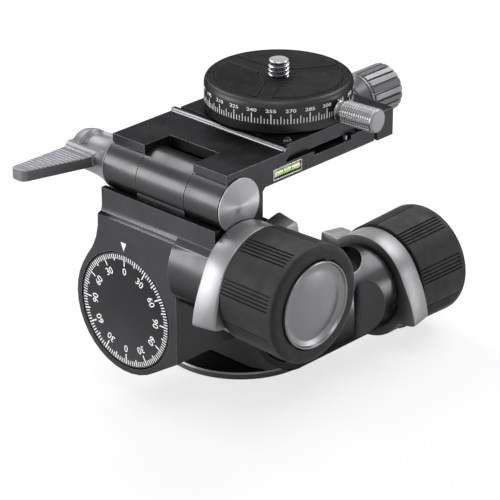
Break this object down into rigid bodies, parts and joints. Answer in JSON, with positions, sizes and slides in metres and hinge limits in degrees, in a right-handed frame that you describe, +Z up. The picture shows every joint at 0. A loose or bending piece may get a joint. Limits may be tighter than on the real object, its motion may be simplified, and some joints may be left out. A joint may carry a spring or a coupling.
{
  "type": "geared tripod head",
  "caption": "Geared tripod head with two ribbed worm-drive knobs, a flip hinge with a locking lever, a dovetail clamp and a panorama disc with a camera screw.",
  "frame": {"origin": "centre of the base disc's lower face, on the pan axis", "axes": "+Z up along the pan axis, +X along the flip hinge towards the tilt knob, +Y along the clamp channel away from the degree dial"},
  "size_m": [0.0956, 0.1231, 0.0979],
  "materials": {
    "black_anodised": "satin black anodised",
    "silver_anodised": "satin silver anodised",
    "bright_metal": "bright turned",
    "steel": "machined",
    "gear_bronze": "machined bronze",
    "grip_rubber": "matte moulded rubber",
    "vial": "clear, with a green fluid"
  },
  "bodies": {
    "base": {"base_disc": "black_anodised", "tripod_socket_insert": "bright_metal", "pan_spindle": "steel", "base_screw_1": "steel", "base_screw_2": "steel", "pan_wheel": "gear_bronze", "spindle_nut": "steel"},
    "pan": {"pan_skirt": "black_anodised", "pan_housing": "black_anodised", "skirt_screw_1": "steel", "skirt_screw_2": "steel", "pan_bush": "gear_bronze", "pan_top_cap": "black_anodised", "pan_worm_end_cap": "black_anodised", "pan_worm_bearing": "bright_metal", "tilt_axle": "steel", "tilt_wheel": "gear_bronze", "tilt_dial": "black_anodised"},
    "pan_knob": {"pan_worm": "steel", "pan_knob_hub": "silver_anodised", "pan_knob_grip": "grip_rubber", "pan_knob_cap": "silver_anodised"},
    "pan_ring": {"pan_release_ring": "silver_anodised"},
    "tilt_block_body": {"tilt_block": "black_anodised", "tilt_back_cover": "black_anodised", "tilt_bush_front": "gear_bronze", "tilt_bush_back": "gear_bronze", "tilt_worm_bearing": "bright_metal", "hinge_pin": "steel", "hinge_end_cap": "silver_anodised"},
    "tilt_knob": {"tilt_worm": "steel", "tilt_knob_hub": "silver_anodised", "tilt_knob_grip": "grip_rubber", "tilt_knob_cap": "silver_anodised"},
    "tilt_ring": {"tilt_release_ring": "silver_anodised"},
    "platform_body": {"platform": "black_anodised", "level_frame": "silver_anodised", "level_vial": "vial", "stop_pin_1": "steel", "stop_pin_2": "steel", "guide_pin_1": "steel", "guide_pin_2": "steel"},
    "lever": {"flip_lever": "silver_anodised", "flip_lever_screw": "steel"},
    "jaw": {"clamp_jaw": "black_anodised"},
    "jaw_knob": {"clamp_knob": "silver_anodised", "clamp_screw": "steel"},
    "plate": {"dovetail_plate": "black_anodised", "plate_stop_screw": "steel", "pan_drum": "black_anodised", "drum_screw_1": "steel", "drum_screw_2": "steel"},
    "lock_knob": {"drum_lock_knob": "bright_metal"},
    "disc": {"disc_plate": "black_anodised", "grip_pad_left": "grip_rubber", "grip_pad_right": "grip_rubber", "grip_pad_back": "grip_rubber", "retaining_ring": "steel"},
    "stud": {"camera_screw": "bright_metal"}
  },
  "joints": [
    {"name": "pan", "type": "hinge", "parent": "base", "child": "pan", "pos_m": [0, 0, 0.0205], "axis": [0, 0, 1], "continuous": true},
    {"name": "pan_knob_turn", "type": "hinge", "parent": "pan", "child": "pan_knob", "pos_m": [0.0285, 0.04, 0.02075], "axis": [0, 1, 0], "continuous": true},
    {"name": "pan_ring_turn", "type": "hinge", "parent": "pan", "child": "pan_ring", "pos_m": [0.0285, 0.0295, 0.02075], "axis": [0, 1, 0], "range_deg": [0, 25], "stiffness_Nm_per_rad": 0.15},
    {"name": "tilt", "type": "hinge", "parent": "pan", "child": "tilt_block_body", "pos_m": [0, -0.0384, 0.0295], "axis": [0, 1, 0], "range_deg": [-84, 48]},
    {"name": "tilt_knob_turn", "type": "hinge", "parent": "tilt_block_body", "child": "tilt_knob", "pos_m": [0.05, -0.0384, 0.0495], "axis": [1, 0, 0], "range_deg": [-2520, 1440]},
    {"name": "tilt_ring_turn", "type": "hinge", "parent": "tilt_block_body", "child": "tilt_ring", "pos_m": [0.0402, -0.0384, 0.0495], "axis": [1, 0, 0], "range_deg": [0, 25], "stiffness_Nm_per_rad": 0.15},
    {"name": "flip", "type": "hinge", "parent": "tilt_block_body", "child": "platform_body", "pos_m": [0.01245, -0.0384, 0.071], "axis": [1, 0, 0], "range_deg": [0, 90]},
    {"name": "lever_turn", "type": "hinge", "parent": "platform_body", "child": "lever", "pos_m": [-0.02, -0.0384, 0.071], "axis": [1, 0, 0], "range_deg": [-75, 0]},
    {"name": "clamp_knob_turn", "type": "hinge", "parent": "jaw", "child": "jaw_knob", "pos_m": [0.01245, 0.045, 0.0752], "axis": [0, 1, 0], "range_deg": [0, 1260]},
    {"name": "jaw_slide", "type": "slide", "parent": "platform_body", "child": "jaw", "axis": [0, 1, 0], "range_m": [0, 0.0035]},
    {"name": "plate_slide", "type": "slide", "parent": "platform_body", "child": "plate", "axis": [1, 0, 0], "range_m": [-0.01, 0.01]},
    {"name": "disc_spin", "type": "hinge", "parent": "plate", "child": "disc", "pos_m": [0.01245, 0.0036, 0.09], "axis": [0, 0, 1], "continuous": true},
    {"name": "lock_knob_turn", "type": "hinge", "parent": "plate", "child": "lock_knob", "pos_m": [0.04231, 0.00648, 0.087], "axis": [0.9954, 0.0958, 0], "range_deg": [0, 180]},
    {"name": "camera_screw_turn", "type": "hinge", "parent": "disc", "child": "stud", "pos_m": [0.01245, 0.0036, 0.092], "axis": [0, 0, 1], "continuous": true}
  ],
  "couplings": [
    {"joint": "pan_knob_turn", "follows": "pan", "ratio": 39},
    {"joint": "tilt_knob_turn", "follows": "tilt", "ratio": 30},
    {"joint": "clamp_knob_turn", "follows": "jaw_slide", "rad_per_m": 6283.2}
  ]
}
